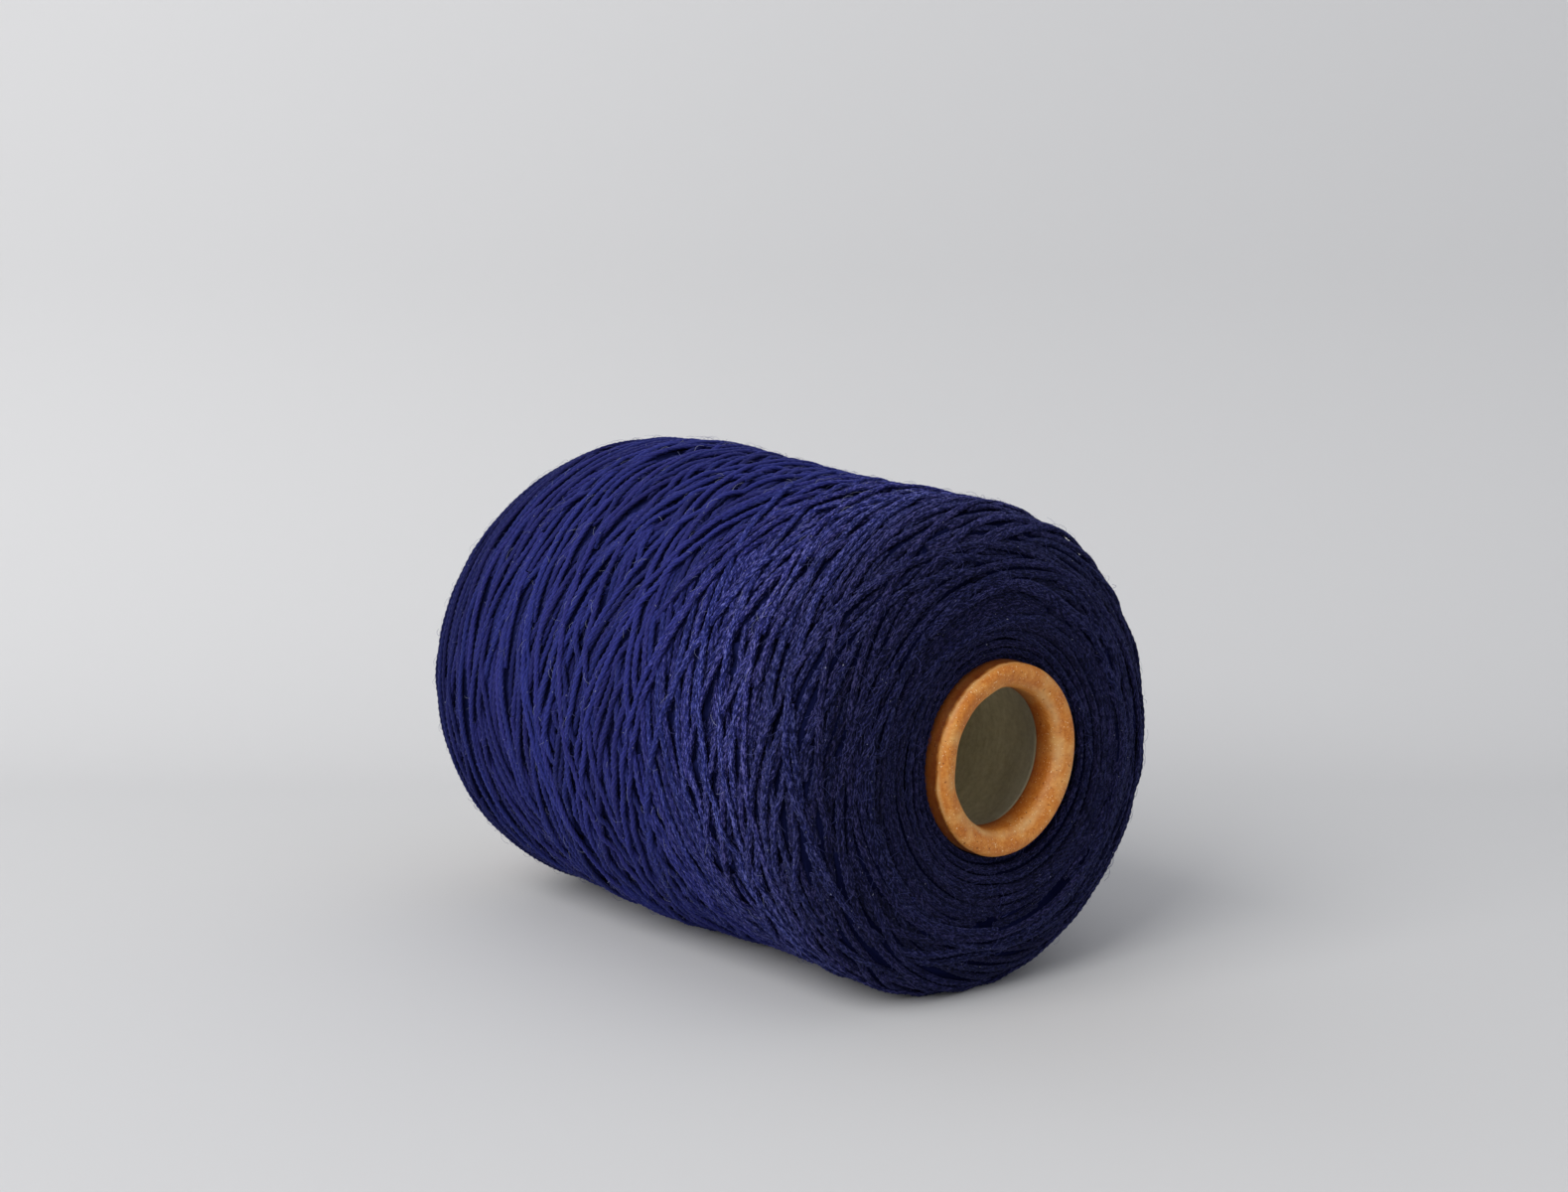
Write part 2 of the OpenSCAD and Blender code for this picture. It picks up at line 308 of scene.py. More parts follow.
def cover_material():
    """Orange-brown paper with mottled dye, pale scuffs, dark pits and a soft waxed shine, with painted
    highlights, glints and shade on the nose.
    """
    made, tree, shader = new_material("cover_paper", {"Roughness": 0.5, "Specular IOR Level": 0.35})
    place = add(tree, "ShaderNodeTexCoord").outputs["Object"]
    lathe = carried(tree, "lathe", "Vector")
    round_section = carried(tree, "round_section")
    mottle = noise(tree, place, 260, 5, 0.6)
    grain = noise(tree, place, 1500, 3, 0.6)
    fibres = noise(tree, scaled(tree, lathe, (7, 2, 2)), 3, 6, 0.65)
    blend = add(tree, "ShaderNodeMix", {"Factor": 0.45, 2: mottle, 3: grain}, data_type="FLOAT")
    blend = add(tree, "ShaderNodeMix", {"Factor": 0.25, 2: blend.outputs[0], 3: fibres},
                data_type="FLOAT").outputs[0]
    dye = ramp(tree, blend, [(0.3, (0.405, 0.097, 0.0092)), (0.45, (0.57, 0.179, 0.020)),
                             (0.57, (0.70, 0.276, 0.046)), (0.70, (0.81, 0.478, 0.156))])
    # Patches where the dye has been rubbed thin, painted glints as pale specks, and dark specks in the paper
    patches = noise(tree, place, 130, 3, 0.5)
    thin = mapped(tree, patches, (0.50, 0.68), (0, 0.55))
    dye = mixed(tree, thin, dye, (0.72, 0.42, 0.15, 1))
    specks = noise(tree, place, 2600, 1, 0.4)
    painted_glints = mapped(tree, specks, (0.69, 0.75), (0, 0.8))
    dye = mixed(tree, painted_glints, dye, (0.95, 0.82, 0.48, 1))
    # Painted shade: the yarn's shadow below the nose, and shade in the bore towards the paper's end, also
    # browned a little by glue
    nose_start = (cone_length - outer_round) / math.cos(cone_taper)
    over = (outer_round + inner_round) * math.pi / 2 + cone_length - inner_round - roll_end
    turn = mapped(tree, round_section, (nose_start - over, nose_start + over))
    uneven = arithmetic(tree, "MULTIPLY", mottle, 0.04)
    turn = arithmetic(tree, "ADD", turn, uneven)
    painted_shade_and_browning = ramp(tree, turn, [(0.44, (0.34, 0.24, 0.20)), (0.505, (0.26, 0.16, 0.11)), (0.54, (1, 1, 1)),
                             (0.82, (1, 1, 1)), (0.90, (0.74, 0.62, 0.50)), (1.0, (0.42, 0.30, 0.22))])
    # Painted highlights: pale lines along both edges of the nose, the inner one in patches
    painted_edge_highlights = ramp(tree, turn, [(0.52, (0, 0, 0)), (0.54, (0.6, 0.6, 0.6)), (0.57, (0, 0, 0)),
                               (0.71, (0, 0, 0)), (0.77, (0.75, 0.75, 0.75)), (0.85, (0, 0, 0))])
    places = mapped(tree, noise(tree, place, 95, 3, 0.6), (0.40, 0.62), (0.1, 1))
    painted_edge_highlights = arithmetic(tree, "MULTIPLY", painted_edge_highlights, places)
    dye = mixed(tree, painted_edge_highlights, dye, (0.74, 0.46, 0.19, 1))
    dyed = mixed(tree, 1.0, dye, painted_shade_and_browning, "MULTIPLY")
    pits = noise(tree, place, 1300, 2, 0.4)
    pitted = ramp(tree, pits, [(0.24, (0.45, 0.30, 0.20)), (0.31, (1, 1, 1))])
    colour = mixed(tree, 1.0, dyed, pitted, "MULTIPLY")
    tree.links.new(colour, shader.inputs["Base Color"])
    bumped(tree, shader, blend, 0.35, 0.15 * mm)
    return made


cover = turned("paper_cone_cover", cover_section(), rolled_unevenly)
cover.data.materials.append(cover_material())
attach(cover, "root")
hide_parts("cover_paper")


# ---------------------------------------------------------------------------------------------
# Heart of the yarn
# All the inner layers, gripped round the cone. Nothing of them shows except as darkness at the
# bottom of the grooves, so they are one body, which swells up between the outer strands.
# ---------------------------------------------------------------------------------------------
yarn_r = 55.5 * mm
yarn_taper = cone_taper
bare_foot = 16 * mm
nose_proud = 1.6 * mm
nose_dome = 14 * mm
base_dome = 34 * mm
dome_power = 4
dip_depth = 4.2 * mm
dip_width = 11 * mm
outer_layers = 3.4 * mm
in_shade = (44 * mm, 62 * mm)
crown_u = cone_length - nose_proud - outer_layers
foot_u = bare_foot + outer_layers
middle_u = (cone_length - nose_proud + bare_foot) / 2


def heart_r(u):
    """Straight side of the heart."""
    return yarn_r - outer_layers - (u - middle_u) * math.tan(yarn_taper)


def dome(end_u, depth, side, steps=48):
    """One rounded end, from the cone out to the straight side. side is 1 at the nose, -1 at the base."""
    edge_u = end_u - side * depth
    last = math.acos((cone_r(end_u) / heart_r(end_u)) ** (dome_power / 2))
    points = []
    for i in range(steps, -1, -1):
        a = last * i / steps
        u = edge_u + side * depth * math.sin(a) ** (2 / dome_power)
        r = heart_r(u) * math.cos(a) ** (2 / dome_power)
        near = max(0, 1 - (r - cone_r(u)) / dip_width)
        points.append((u - side * dip_depth * near ** 2, r))
    return points


# Heaps and hollows of the winding: height up the cone, direction, how high, and how far they
# reach along the cone and round it
heaps = (
    (64 * mm, math.radians(172), 1.8 * mm, 24 * mm, math.radians(42)),
    (88 * mm, math.radians(335), 1.5 * mm, 18 * mm, math.radians(34)),
    (148 * mm, math.radians(335), 1.0 * mm, 9 * mm, math.radians(26)),
    (28 * mm, math.radians(218), -1.0 * mm, 14 * mm, math.radians(30)),
    (160 * mm, math.radians(136), -0.9 * mm, 12 * mm, math.radians(24)),
    (161 * mm, math.radians(60), 2.4 * mm, 9 * mm, math.radians(110)),
    (27 * mm, math.radians(300), 1.2 * mm, 11 * mm, math.radians(90)))
even_beside_cone = 12 * mm


def unevenness(u, r, angle):
    """Height of the slow heaps and hollows, which fade out towards the cone."""
    total = 0 * (u + angle)
    for place, towards, height, reach, spread in heaps:
        aside = (angle - towards + math.pi) % (2 * math.pi) - math.pi
        total = total + height * np.exp(-((u - place) / reach) ** 2 - (aside / spread) ** 2)
    return total * np.clip((r - cone_r(u)) / even_beside_cone, 0, 1)


outline = np.array(dome(crown_u, nose_dome, 1) + dome(foot_u, base_dome, -1)[::-1])
run = np.concatenate([[0], np.cumsum(np.linalg.norm(np.diff(outline, axis=0), axis=1))])
outline_length = run[-1]


def above_heart(s, angle, lift):
    """Points a given lift above the heart, at a run s along its outline and an angle round the axis."""
    reach = 1.5 * mm
    u, r = np.interp(s, run, outline[:, 0]), np.interp(s, run, outline[:, 1])
    du = np.interp(s + reach, run, outline[:, 0]) - np.interp(s - reach, run, outline[:, 0])
    dr = np.interp(s + reach, run, outline[:, 1]) - np.interp(s - reach, run, outline[:, 1])
    span = np.hypot(du, dr)
    lift = lift + unevenness(u, r, angle)
    u, r = u + lift * dr / span, r - lift * du / span
    return laid_down(np.stack([r * np.cos(angle), r * np.sin(angle), u], axis=-1))


def heart_material():
    """Navy wool deep between the strands, painted dark as their shade, and darker at both ends, where less
    light falls in.
    """
    made, tree, shader = new_material("yarn_in_shadow", {"Roughness": 1.0, "Specular IOR Level": 0.0})
    lathe = carried(tree, "lathe", "Vector")
    streaks = noise(tree, scaled(tree, lathe, (12, 2, 2)), 2, 3)
    colour = ramp(tree, streaks, [(0.35, (0.0045, 0.006, 0.032)), (0.65, (0.010, 0.0125, 0.060))])
    height = add(tree, "ShaderNodeSeparateXYZ", {0: lathe}).outputs["X"]
    off_middle = arithmetic(tree, "SUBTRACT", height, middle_u / lathe_unit)
    off_middle = arithmetic(tree, "ABSOLUTE", off_middle)
    level = mapped(tree, off_middle, [off / lathe_unit for off in in_shade], (1.7, 0.65))
    colour = times(tree, colour, level)
    tree.links.new(colour, shader.inputs["Base Color"])
    bumped(tree, shader, streaks, 1.0, 0.6 * mm)
    return made


heart_sides = 256
heart_steps = 144
heart_run = np.linspace(0, outline_length, heart_steps)
heart_outline = [(np.interp(s, run, outline[:, 0]), np.interp(s, run, outline[:, 1])) for s in heart_run]
grip_gap = 0.1 * mm
beside_cone = [(u, cone_r(u) + grip_gap) for u in np.linspace(outline[-1, 0], outline[0, 0], 12)[1:-1]]
heart = turned("yarn_heart", heart_outline + beside_cone, sides=heart_sides)
heart.data.materials.append(heart_material())
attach(heart, "root")
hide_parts("packed_yarn")


# ---------------------------------------------------------------------------------------------
# Wound yarn
# One strand of four plies lies in close turns all over, and over those it runs to and fro between
# the ends. A few passes fall side by side before the winder moves on, so they make bundles that
# cross each other, with grooves beside them.
# ---------------------------------------------------------------------------------------------
strand_r = 0.89 * mm
strand_flat = 0.68
plies = 4
ply_period = 6.6 * mm
ply_valley = 0.82
ring_step = 0.72 * mm
shoulder = (26 * mm, 48 * mm)
# The first of each pair holds on the end faces, as far as the shoulder, and the second on the side
bedding = (0.58, 0.80)
highest_rise = (0.55 * mm, 1.1 * mm)
deepest_hollow = (0.6 * mm, 1.8 * mm)
slip_share = (0.30, 0.12)
slip_reach = 24 * mm
on_highest = 0.45
bed_reach = 8
seed = 11

draw = np.random.default_rng(seed)
cell = 0.25 * mm
rows = int(outline_length / cell) + 2
columns = 920
relief = np.zeros((rows, columns))
strands = []


def cells(s, angle):
    """Row and column of the relief map at a run along the outline and an angle."""
    row = np.clip((s / cell).astype(int), 0, rows - 1)
    return row, (angle / (2 * math.pi) * columns).astype(int) % columns


def taut(along, height):
    """The height of a strand pulled tight round the package over supports of the given height."""
    level = height - along ** 2 / (2 * yarn_r)
    hull = []
    for i in range(len(along)):
        while len(hull) > 1:
            a, b = hull[-2], hull[-1]
            if (level[b] - level[a]) * (along[i] - along[a]) > (level[i] - level[a]) * (along[b] - along[a]):
                break
            hull.pop()
        hull.append(i)
    return np.interp(along, along[hull], level[hull]) + along ** 2 / (2 * yarn_r)


def smooth(values, reach, mode="edge"):
    """A bell-shaped running average over so many samples each way, which keeps their number."""
    bell = np.exp(-np.linspace(-2, 2, 2 * reach + 1) ** 2)
    return np.convolve(np.pad(values, reach, mode=mode), bell / bell.sum(), mode="valid")


def samples(length):
    """How many points a stretch of strand of this length is laid with."""
    return max(8, int(2 * length / ring_step))


def sideways(s, angle):
    """Length along a stretch of strand, and its sideways direction as steps of run and angle."""
    radius = np.interp(s, run, outline[:, 1]) + outer_layers / 2
    step_s, step_a = np.gradient(s), np.gradient(angle) * radius
    step = np.hypot(step_s, step_a)
    return np.cumsum(step), step_a / step, -step_s / step / radius


def eased(s, at_end, along_side):
    """A value that changes over the shoulder of the package, from its end faces to its side."""
    return np.interp(np.minimum(s, outline_length - s), shoulder, (at_end, along_side))


def lay(s, angle, kind, pull, slips, tone):
    """Lays a stretch of strand over what is there, and marks it on the relief map. The strand
    first slips sideways off the ridges that it would rest on."""
    for _ in range(slips):
        along, across_s, across_a = sideways(s, angle)
        slope = (relief[cells(s + strand_r * across_s, angle + strand_r * across_a)]
                 - relief[cells(s - strand_r * across_s, angle - strand_r * across_a)])
        slip = eased(s, *slip_share) * smooth(slope, samples(slip_reach))
        slip *= np.sin(np.linspace(0, math.pi, len(s))) ** 0.1
        s, angle = s - slip * across_s, angle - slip * across_a
    along, across_s, across_a = sideways(s, angle)
    offsets = np.linspace(-0.98, 0.98, 13) * strand_r
    tops = strand_flat * np.sqrt(strand_r ** 2 - offsets ** 2)
    where = cells(s[:, None] + across_s[:, None] * offsets, angle[:, None] + across_a[:, None] * offsets)
    under = relief[where] + tops
    bedded = on_highest * under.max(axis=1) + (1 - on_highest) * under.mean(axis=1)
    bedded = smooth(bedded, bed_reach)
    lift = pull * taut(along, bedded) + (1 - pull) * bedded
    np.maximum.at(relief, where, lift[:, None] + tops)
    strands.append({"s": s, "angle": angle, "lift": lift, "along": along, "kind": kind,
                    "tone": tone, "across_s": across_s, "across_a": across_a})


def sway(count, waves):
    """A smooth seeded curve about 1 high over count samples, which starts and ends at nothing."""
    t = np.linspace(0, 1, count)
    total = np.zeros(count)
    for wave in waves:
        total += draw.normal() * np.sin(2 * math.pi * (wave * t + draw.uniform()))
    return total * np.sqrt(np.sin(math.pi * t)) / math.sqrt(len(waves))


def drift(s, angle):
    """How far the close turns wander together, all round the package."""
    once_round = 0.9 * mm * np.sin(angle + s / (9 * mm))
    twice_round = 0.6 * mm * np.sin(2 * angle - s / (6 * mm) + 1.0)
    return once_round + twice_round


close_pull = 0.2
close_slips = 2
clear_of_cone = 0.9 * mm
steady_run = 10 * mm


def close_turns(start, end, pitch, wander, kind):
    """Turns side by side from one run to another, laid one after the other. Each has its
    own tone, and near the cone they lie straighter."""
    for k in range(int(abs(end - start) / pitch)):
        middle = start + math.copysign(pitch, end - start) * (k + 0.5)
        around = 2 * math.pi * (np.interp(middle, run, outline[:, 1]) + outer_layers / 2)
        count = samples(around)
        angle = np.linspace(0, 2 * math.pi, count) + k * 2 * math.pi
        ramped = middle + math.copysign(pitch, end - start) * np.linspace(-0.5, 0.5, count)
        fade = np.clip(np.minimum(ramped, outline_length - ramped) / steady_run, 0, 1)
        s = ramped + fade * (drift(ramped, angle) + wander * sway(count, (1, 2, 3)))
        s = np.clip(s, clear_of_cone, outline_length - clear_of_cone)
        tone = 1 + 0.1 * math.sin(middle / (1.7 * mm))
        lay(s, angle, kind, close_pull, close_slips, tone)


close_turns(0, outline_length, pitch=1.6 * mm, wander=0.12 * mm, kind="turns")
for start, end in ((1.5 * mm, 34 * mm), (outline_length - 1.5 * mm, outline_length - 34 * mm)):
    close_turns(start, end, pitch=1.75 * mm, wander=1.3 * mm, kind="turns")

bundles = 15
bundle_sizes = (3, 4, 5, 6)
loose_bundles = 3
loose_sizes = (1, 1, 2)
bundle_tones = (0.82, 1.20)
whole_turns = (3, 4)
turn_round = math.radians(82)
crowding = 1.7
nose_turn = (16 * mm, 36 * mm)
base_turn = (outline_length - 46 * mm, outline_length - 20 * mm)
strand_spacing = 1.42 * mm
turn_spread = 1 * mm
last_ends_after = 0.72
pass_pull = 0.3
pass_slips = 3
pass_wander = 0.25 * mm
golden_angle = math.pi * (3 - math.sqrt(5))


def shift_beside(turns):
    """Angle between passes that lie side by side, for so many turns to the base and back."""
    steepest = (base_turn[0] - nose_turn[1]) / (turns / 2) * turn_round / math.sin(turn_round)
    around = 2 * math.pi * yarn_r
    return strand_spacing * math.hypot(1, steepest / around) / steepest * 2 * math.pi


turning = []
angle = 0
for k in range(bundles + loose_bundles):
    size = draw.choice(bundle_sizes if k < bundles else loose_sizes)
    turns = draw.choice(whole_turns)
    nose_end, base_end = draw.uniform(*nose_turn), draw.uniform(*base_turn)
    tone = draw.uniform(*bundle_tones)
    for _ in range(size):
        turning.append((angle, nose_end + draw.normal(0, turn_spread),
                        base_end + draw.normal(0, turn_spread), k >= bundles, tone))
        angle += 2 * math.pi * turns + shift_beside(turns)
    # Moves on by part of a turn to where the next bundle goes
    angle += (golden_angle * (k + 1) - angle) % (2 * math.pi)


def lay_pass(from_angle, to_angle, from_s, to_s, loose, tone):
    """One pass from end to end, steep in the middle and easing into the turn at each end."""
    count = samples((to_angle - from_angle) * yarn_r)
    t = np.linspace(-1, 1, count)
    s = (to_s + from_s) / 2 + (to_s - from_s) / 2 * np.sin(turn_round * t) / math.sin(turn_round)
    reach = (s - nose_turn[0]) / (outline_length - nose_turn[0])
    s = nose_turn[0] + (outline_length - nose_turn[0]) * np.clip(reach, 0, 1) ** crowding
    angle = from_angle + (t + 1) / 2 * (to_angle - from_angle)
    s = s + pass_wander * sway(count, (1, 2, 3, 5))
    lay(s, angle, "passes", pass_pull, 0 if loose else pass_slips, tone)


last_ends = int(last_ends_after * len(turning))
for k, (angle, nose_end, base_end, *manner) in enumerate(turning[:-1]):
    if k == last_ends:
        # The turning places, where the strands lie nearly square to the cone, wander to and fro
        close_turns(10 * mm, 46 * mm, pitch=1.75 * mm, wander=1.2 * mm, kind="passes")
        close_turns(outline_length - 10 * mm, outline_length - 50 * mm,
                    pitch=1.9 * mm, wander=1.5 * mm, kind="passes")
    next_angle, next_nose_end = turning[k + 1][:2]
    halfway = (angle + next_angle) / 2
    lay_pass(angle, halfway, nose_end, base_end, *manner)
    lay_pass(halfway, next_angle, base_end, next_nose_end, *manner)

# What was laid is brought to an even height, so that heaps and hollows don't change the outline
even_reach = 24
envelope = np.apply_along_axis(smooth, 1, relief, even_reach, "wrap")
envelope = np.apply_along_axis(smooth, 0, envelope, even_reach)


def evened(s, height):
    """A height over the even level, pressed in so that no ridge or hollow passes its limit."""
    height = eased(s, *bedding) * height
    limit = np.where(height > 0, eased(s, *highest_rise), eased(s, *deepest_hollow))
    return limit * np.tanh(height / limit)


# The heart swells up between the strands, to just under the lowest of their tops
under_tops = 0.7 * mm
cells_about = 3
low_tops = relief
for _ in range(cells_about):
    for axis in (0, 1):
        low_tops = np.minimum(low_tops, np.minimum(np.roll(low_tops, 1, axis), np.roll(low_tops, -1, axis)))
heart_s, heart_angle = np.meshgrid(heart_run, np.linspace(0, 2 * math.pi, heart_sides, endpoint=False))
swell = evened(heart_s, (low_tops - envelope)[cells(heart_s, heart_angle)]) - under_tops
swollen = above_heart(heart_s, heart_angle, np.maximum(0, outer_layers + swell))
swollen[..., 2] = np.maximum(swollen[..., 2], under_tops)
heart_points = np.array([vertex.co for vertex in heart.data.vertices]).reshape(heart_sides, -1, 3)
heart_points[:, :len(heart_run)] = swollen
heart.data.vertices.foreach_set("co", heart_points.ravel())
heart.data.update()


def new_tree(name, *inputs):
    """A geometry node tree with named inputs: returns it and the sockets of what it is given."""
    tree = bpy.data.node_groups.new(name, "GeometryNodeTree")
    for its_name, kind in (("Geometry", "Geometry"), *inputs):
        tree.interface.new_socket(its_name, in_out="INPUT", socket_type="NodeSocket" + kind)
    tree.interface.new_socket("Geometry", in_out="OUTPUT", socket_type="NodeSocketGeometry")
    return tree, add(tree, "NodeGroupInput").outputs


def kept(tree, name, kind="FLOAT"):
    """A value that each point carries, for a node tree to read."""
    return add(tree, "GeometryNodeInputNamedAttribute", {"Name": name}, data_type=kind).outputs["Attribute"]


def plied_strand_tree():
    """Geometry nodes that sweep a section of plies along poly lines, turned by their roll, and
    then press the strand a little flat against the package."""
    tree, given = new_tree("plied_strand", ("Plies", "Int"), ("Strand radius", "Float"),
                           ("Valley", "Float"), ("Flatness", "Float"), ("Material", "Material"))
    index = add(tree, "GeometryNodeInputIndex").outputs[0]
    odd = arithmetic(tree, "MODULO", index, 2)
    crest = arithmetic(tree, "SUBTRACT", 1.0, odd)
    share = mapped(tree, crest, (0.0, 1.0), (given["Valley"], 1.0))
    corners = arithmetic(tree, "MULTIPLY", given["Plies"], 2)
    at = add(tree, "GeometryNodeInputPosition").outputs[0]
    section = add(tree, "GeometryNodeCurvePrimitiveCircle", {"Resolution": corners, "Radius": 1.0})
    section = add(tree, "GeometryNodeStoreNamedAttribute",
                  {"Geometry": section.outputs["Curve"], "Name": "ply", "Value": at},
                  data_type="FLOAT_VECTOR")
    section = add(tree, "GeometryNodeStoreNamedAttribute",
                  {"Geometry": section.outputs[0], "Name": "crest", "Value": crest}, data_type="FLOAT")
    section = add(tree, "GeometryNodeSetPosition",
                  {"Geometry": section.outputs[0], "Position": times(tree, at, share)})

    lines = add(tree, "GeometryNodeMeshToCurve", {"Mesh": given["Geometry"]})
    lines = add(tree, "GeometryNodeSetCurveTilt", {"Curve": lines.outputs[0], "Tilt": kept(tree, "roll")})
    thick = arithmetic(tree, "MULTIPLY", kept(tree, "slub"), given["Strand radius"])
    swept = add(tree, "GeometryNodeCurveToMesh",
                {"Curve": lines.outputs[0], "Profile Curve": section.outputs[0],
                 "Scale": thick, "Fill Caps": True})
    outward = kept(tree, "outward", "FLOAT_VECTOR")
    from_middle = add(tree, "ShaderNodeVectorMath", {0: at, 1: kept(tree, "middle", "FLOAT_VECTOR")},
                      operation="SUBTRACT").outputs["Vector"]
    height = add(tree, "ShaderNodeVectorMath", {0: from_middle, 1: outward},
                 operation="DOT_PRODUCT").outputs["Value"]
    less = arithmetic(tree, "SUBTRACT", given["Flatness"], 1.0)
    pressed = times(tree, outward, arithmetic(tree, "MULTIPLY", height, less))
    swept = add(tree, "GeometryNodeSetPosition", {"Geometry": swept.outputs[0], "Offset": pressed})
    whole = add(tree, "GeometryNodeRealizeInstances", {"Geometry": swept.outputs[0]})
    soft = add(tree, "GeometryNodeSetShadeSmooth", {"Geometry": whole.outputs[0]})
    dressed = add(tree, "GeometryNodeSetMaterial",
                  {"Geometry": soft.outputs[0], "Material": given["Material"]})
    add(tree, "NodeGroupOutput", {0: dressed.outputs[0]})
    return tree


def grown(obj, tree, **values):
    """Runs a geometry node tree on an object and keeps the result as its plain mesh."""
    modifier = obj.modifiers.new(tree.name, "NODES")
    modifier.node_group = tree
    for item in tree.interface.items_tree:
        key = item.name.replace(" ", "_").lower()
        if item.in_out == "INPUT" and key in values:
            modifier[item.identifier] = values[key]
    depsgraph = bpy.context.evaluated_depsgraph_get()
    mesh = bpy.data.meshes.new_from_object(obj.evaluated_get(depsgraph), depsgraph=depsgraph,
                                           preserve_all_data_layers=True)
    obj.modifiers.clear()
    mesh.name = obj.name
    obj.data = mesh


def yarn_material():
    """Navy wool: streaks of fibre along each ply, painted shade between the plies, and pale flecks, partly
    lint and partly painted sheen.
    """
    fibre_mean = 0.51
    made, tree, shader = new_material("navy_yarn", {
        "Roughness": 0.85, "Specular IOR Level": 0.08, "Sheen Weight": 0.10, "Sheen Roughness": 0.5,
        "Sheen Tint": (0.3, 0.36, 0.95, 1)})
    along = carried(tree, "along")
    ply = carried(tree, "ply", "Vector")
    crest = carried(tree, "crest")
    shade = carried(tree, "shade")
    tint = carried(tree, "tint")
    crisp = carried(tree, "crisp")
    # The plies turn one way and the fibres in them the other, so that fibres run along the strand
    turned_by = arithmetic(tree, "MULTIPLY", along, 2 * math.pi / ply_period)
    unrolled = add(tree, "ShaderNodeVectorRotate", {"Vector": ply, "Angle": turned_by},
                   rotation_type="Z_AXIS").outputs[0]
    split = add(tree, "ShaderNodeSeparateXYZ", {0: unrolled})
    place = add(tree, "ShaderNodeCombineXYZ",
                {"X": along, "Y": split.outputs["X"], "Z": split.outputs["Y"]}).outputs[0]
    fibres = noise(tree, scaled(tree, place, (900, 2.6, 2.6)), 1.0, 2, 0.6)
    about_mean = arithmetic(tree, "SUBTRACT", fibres, fibre_mean)
    combed = arithmetic(tree, "MULTIPLY_ADD", about_mean, crisp, fibre_mean)
    colour = ramp(tree, combed, [(0.34, (0.0045, 0.0065, 0.043)), (0.46, (0.0105, 0.0140, 0.098)),
                                 (0.56, (0.027, 0.0345, 0.195)), (0.68, (0.110, 0.122, 0.365))])
    violet = scaled(tree, colour, (1.15, 0.95, 0.97))
    colour = mixed(tree, tint, colour, violet)
    # Painted shade between the plies, and lighter on their crests
    rounded = arithmetic(tree, "POWER", crest, 1.6)
    painted_ply_shade = mapped(tree, rounded, (0, 1), (0.66, 1.22))
    colour = times(tree, colour, arithmetic(tree, "MULTIPLY", painted_ply_shade, shade))
    # Pale flecks, partly lint and partly painted sheen on the fibres
    lint_and_sheen = noise(tree, add(tree, "ShaderNodeTexCoord").outputs["Object"], 1900, 1, 0.5)
    lint_and_sheen_flecks = mapped(tree, lint_and_sheen, (0.75, 0.83))
    colour = mixed(tree, lint_and_sheen_flecks, colour, (0.30, 0.31, 0.42, 1))
    tree.links.new(colour, shader.inputs["Base Color"])
    bumped(tree, shader, combed, 1.0, 0.2 * mm)
    return made


half_height = strand_flat * strand_r
buried = 0.35 * mm
past_edge = 1.5 * mm
shortest_part = 5 * mm


def cut_to_seen(strand):
    """Splits a stretch into the parts that show past what lies over them."""
    offsets = np.linspace(-0.7, 0.7, 5) * strand_r
    tops = strand_flat * np.sqrt(strand_r ** 2 - offsets ** 2)
    where = cells(strand["s"][:, None] + strand["across_s"][:, None] * offsets,
                  strand["angle"][:, None] + strand["across_a"][:, None] * offsets)
    bare = (strand["lift"][:, None] + tops >= relief[where] - buried).sum(axis=1)
    spread = samples(past_edge)
    seen = np.convolve(bare > 1, np.ones(2 * spread + 1), mode="same") > 0
    edges = np.flatnonzero(np.diff(np.concatenate([[0], seen.astype(int), [0]])))
    return [slice(a, b, 2) for a, b in zip(edges[::2], edges[1::2]) if b - a > samples(shortest_part)]


# Painted shade on each strand: darker on the end faces and down in the hollows, where less light
# reaches. The fibres stand out towards the nose, and each strand has its own tone and tint
face_run, face_shade = (24 * mm, 46 * mm), 0.265
depth_run, depth_shade = (-1.5 * mm, 0.2 * mm), (0.72, 1.08)
crisp_run, crispness = (44 * mm, 80 * mm), (1.7, 0.25)
strand_tones = (0.88, 1.12)
above_floor = 1.25 * half_height

lines = []
for strand in strands:
    s, angle = strand["s"], strand["angle"]
    level = envelope[cells(s, angle)]
    rise = evened(s, strand["lift"] + half_height - level)
    middle = above_heart(s, angle, outer_layers - half_height + rise)
    outward = above_heart(s, angle, outer_layers - half_height + rise + 1 * mm) - middle
    outward /= np.linalg.norm(outward, axis=1)[:, None]
    middle[:, 2] = np.maximum(middle[:, 2], above_floor)
    from_end = np.minimum(s, outline_length - s)
    shade = strand["tone"] * draw.uniform(*strand_tones)
    shade = shade * np.interp(from_end, face_run, (face_shade, 1))
    shade = shade * np.interp(rise, depth_run, depth_shade)
    values = {"middle": middle, "outward": outward, "along": strand["along"], "rise": rise,
              "roll": strand["along"] * 2 * math.pi / ply_period,
              "slub": 1 + 0.05 * sway(len(s), (3, 7, 13, 29)), "shade": shade,
              "tint": np.full(len(s), draw.uniform(0, 1)),
              "crisp": np.interp(s, crisp_run, crispness)}
    for part in cut_to_seen(strand):
        lines.append((strand["kind"], {name: value[part] for name, value in values.items()}))

# A ring of a strand has 16 triangles, and a piece stays under 200,000
most_rings = 12000
pieces = []
for kind in ("turns", "passes"):
    chunk, rings = [], 0
    for line in (line for its_kind, line in lines if its_kind == kind):
        if rings + len(line["middle"]) > most_rings:
            pieces.append((kind, chunk))
            chunk, rings = [], 0
        chunk.append(line)
        rings += len(line["middle"])
    pieces.append((kind, chunk))

